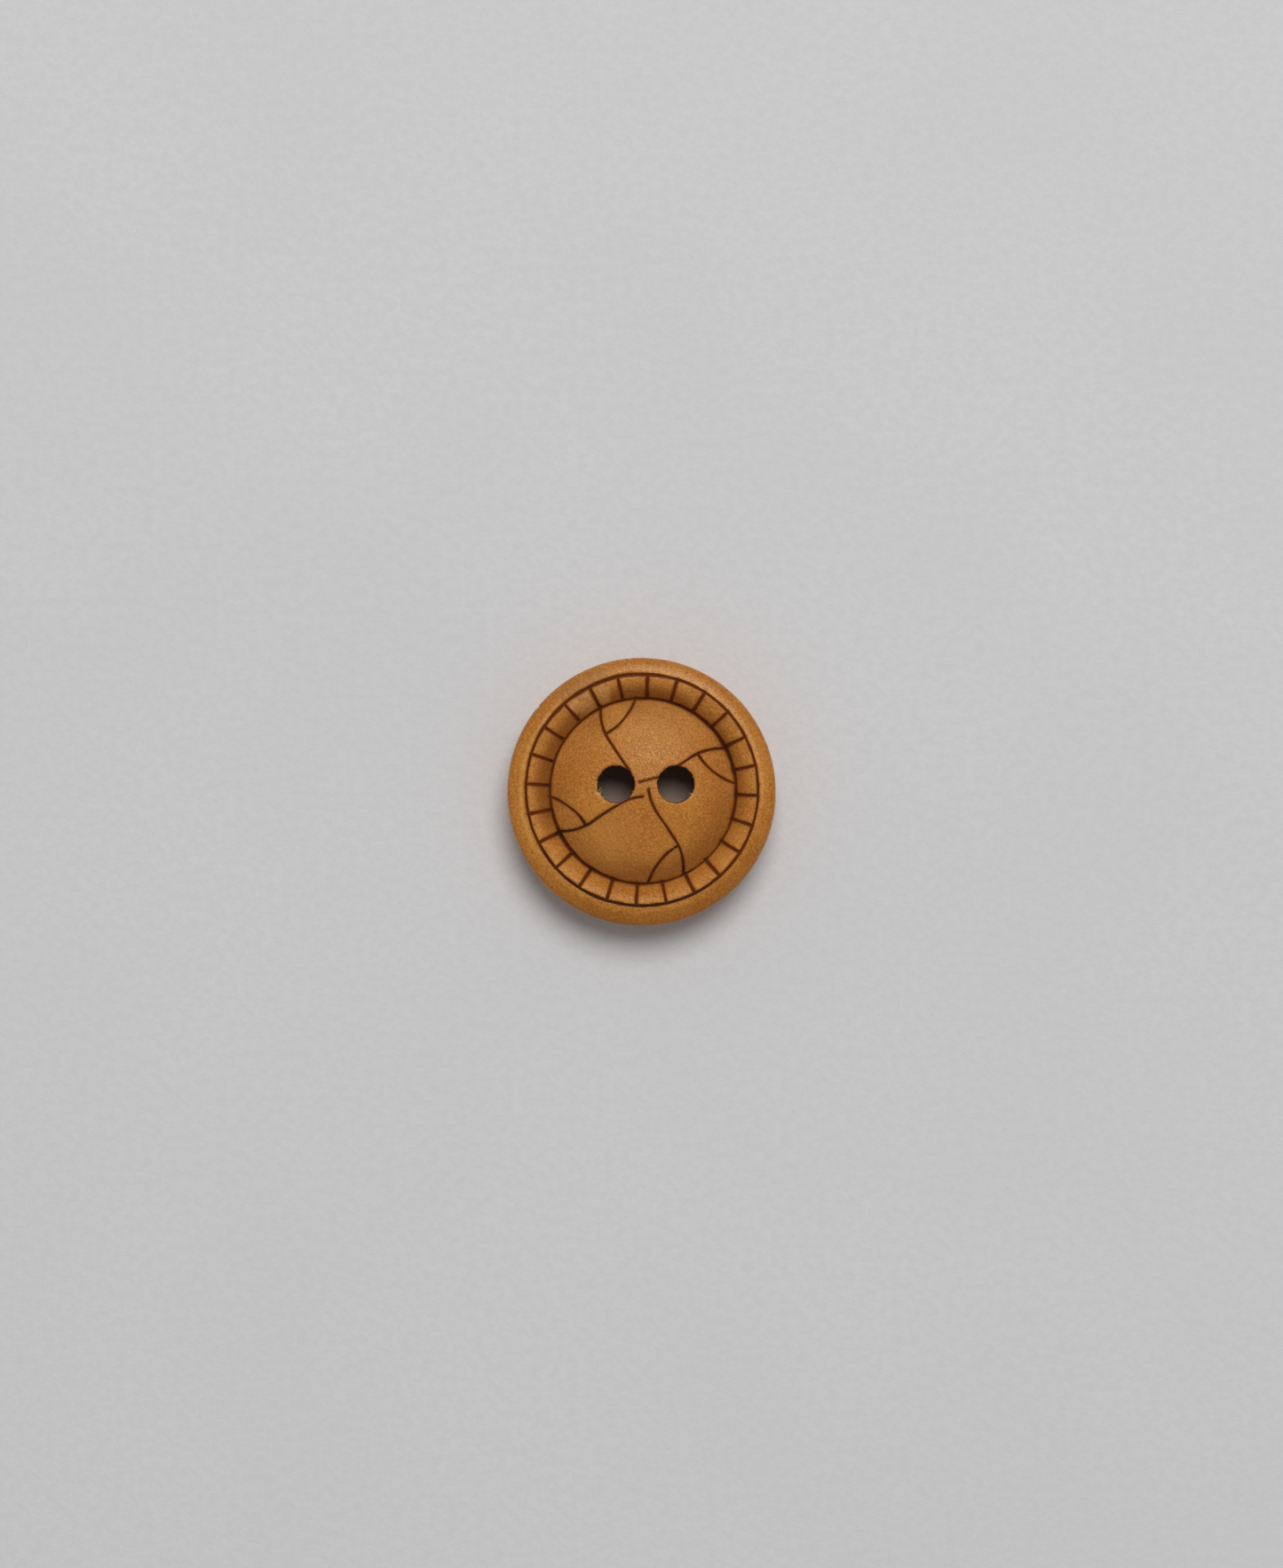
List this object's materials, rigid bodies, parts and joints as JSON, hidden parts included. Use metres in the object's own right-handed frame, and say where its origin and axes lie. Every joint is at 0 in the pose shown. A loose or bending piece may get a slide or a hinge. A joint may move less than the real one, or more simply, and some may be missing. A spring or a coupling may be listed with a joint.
{
  "type": "sew on button",
  "caption": "Round two-hole sew-through wooden button with a domed middle, a channel, a raised rim and a burnt plaited pattern.",
  "frame": {"origin": "centre of the flat back face", "axes": "+Z out of the decorated face, +X along the pair of sewing holes"},
  "size_m": [0.018, 0.018, 0.0047],
  "materials": {
    "stained_wood": "satin honey stain with dark burnt lines"
  },
  "bodies": {
    "root": {"button_disc": "stained_wood"}
  },
  "joints": []
}
